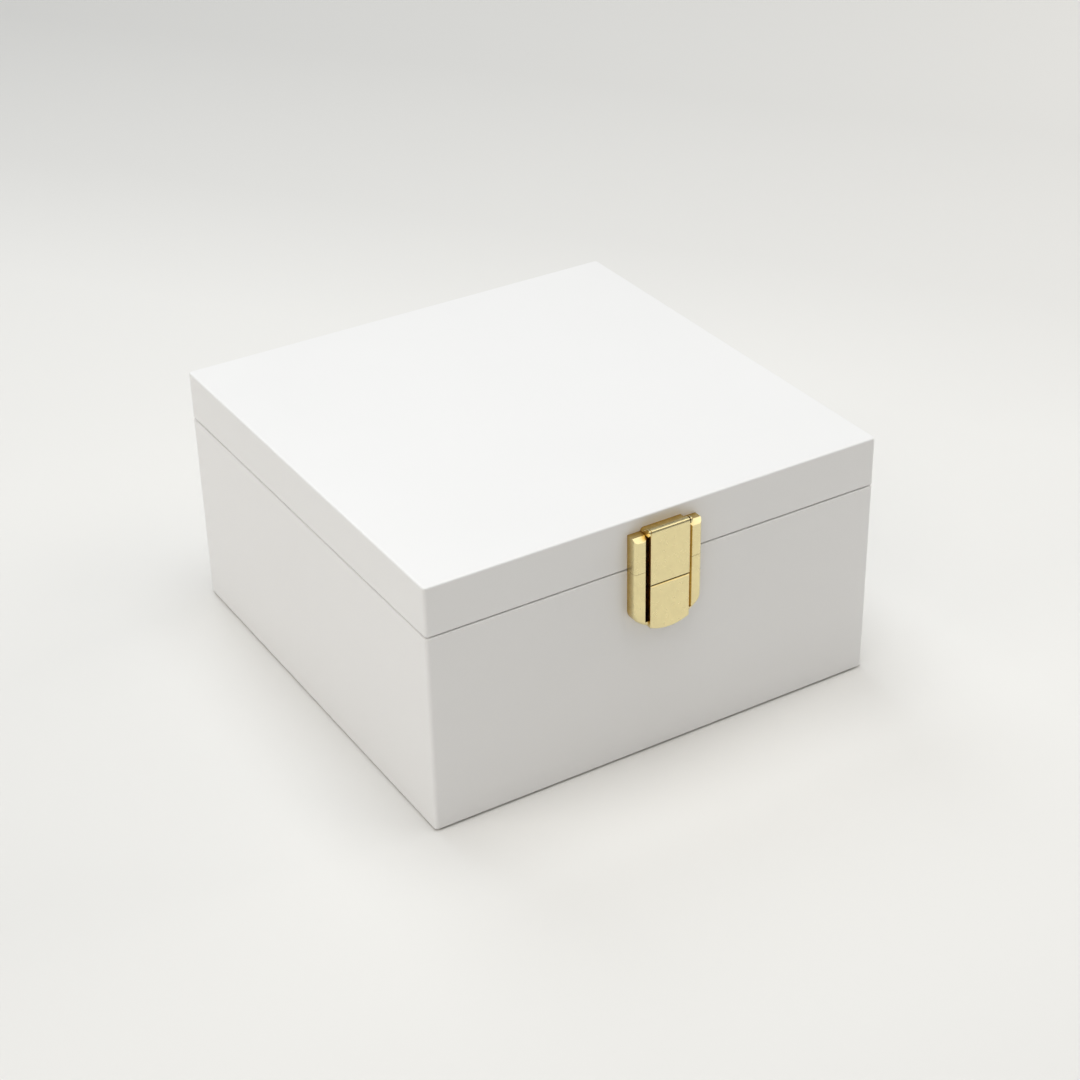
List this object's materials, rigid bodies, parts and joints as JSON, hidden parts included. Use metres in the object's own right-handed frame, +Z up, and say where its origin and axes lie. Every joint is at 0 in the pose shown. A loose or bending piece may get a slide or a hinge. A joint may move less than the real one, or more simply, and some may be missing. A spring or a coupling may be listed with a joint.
{
  "type": "jewellery box",
  "caption": "Square white lacquered jewellery box with a hinged lid, gilt snap clasp, velvet lining, mirror and sliding ring tray.",
  "frame": {"origin": "middle of the face that the box rests on", "axes": "+Z up, +X to the right, the clasp faces -Y and the hinges +Y"},
  "size_m": [0.2, 0.213, 0.107],
  "materials": {
    "white_lacquer": "white satin lacquer over fibreboard",
    "panel": "bare fibreboard",
    "gilt_brass": "polished pale gold plating",
    "steel": "zinc plated",
    "velvet": "short pile velvet over card and board",
    "ring_velvet": "short pile velvet over foam",
    "ribbon": "satin ribbon",
    "felt": "pressed felt",
    "mirror": "silvered glass with bevelled edge"
  },
  "bodies": {
    "base": {"base_back_board": "white_lacquer", "base_back_liner": "velvet", "base_bottom_panel": "panel", "base_felt": "felt", "base_floor_pad": "velvet", "base_front_board": "white_lacquer", "base_front_liner": "velvet", "base_left_board": "white_lacquer", "base_left_liner": "velvet", "base_right_board": "white_lacquer", "base_right_liner": "velvet", "clasp_base_plate": "gilt_brass", "clasp_base_screws": "steel", "clasp_spring_clip": "steel", "divider_crosswise_left": "velvet", "divider_crosswise_right": "velvet", "divider_lengthwise": "velvet", "hinge_base_leaf_left": "gilt_brass", "hinge_base_leaf_right": "gilt_brass", "hinge_base_screws": "gilt_brass", "hinge_pin_left": "gilt_brass", "hinge_pin_right": "gilt_brass", "tray_ledge_left": "velvet", "tray_ledge_right": "velvet"},
    "tray": {"ring_roll_1": "ring_velvet", "ring_roll_2": "ring_velvet", "ring_roll_3": "ring_velvet", "ring_roll_4": "ring_velvet", "ring_roll_5": "ring_velvet", "ring_roll_6": "ring_velvet", "tray_back_wall": "velvet", "tray_bay_divider": "velvet", "tray_cell_divider": "velvet", "tray_floor": "velvet", "tray_front_wall": "velvet", "tray_left_wall": "velvet", "tray_ribbon_pull": "ribbon", "tray_right_wall": "velvet"},
    "lid": {"clasp_flap_pin": "gilt_brass", "clasp_lid_plate": "gilt_brass", "clasp_lid_screws": "steel", "hinge_lid_leaf_left": "gilt_brass", "hinge_lid_leaf_right": "gilt_brass", "hinge_lid_screws": "gilt_brass", "lid_back_board": "white_lacquer", "lid_back_liner": "velvet", "lid_front_board": "white_lacquer", "lid_front_liner": "velvet", "lid_left_board": "white_lacquer", "lid_left_liner": "velvet", "lid_mirror": "mirror", "lid_pad": "velvet", "lid_right_board": "white_lacquer", "lid_right_liner": "velvet", "lid_top_panel": "white_lacquer"},
    "flap": {"clasp_flap": "gilt_brass"}
  },
  "joints": [
    {"name": "lid_hinge", "type": "hinge", "parent": "base", "child": "lid", "pos_m": [0, 0.1029, 0.086], "axis": [-1, 0, 0], "range_deg": [0, 95]},
    {"name": "clasp_flap_hinge", "type": "hinge", "parent": "lid", "child": "flap", "pos_m": [0, -0.1051, 0.1024], "axis": [-1, 0, 0], "range_deg": [0, 110]},
    {"name": "tray_slide", "type": "slide", "parent": "base", "child": "tray", "axis": [0, -1, 0], "range_m": [0, 0.087]}
  ]
}
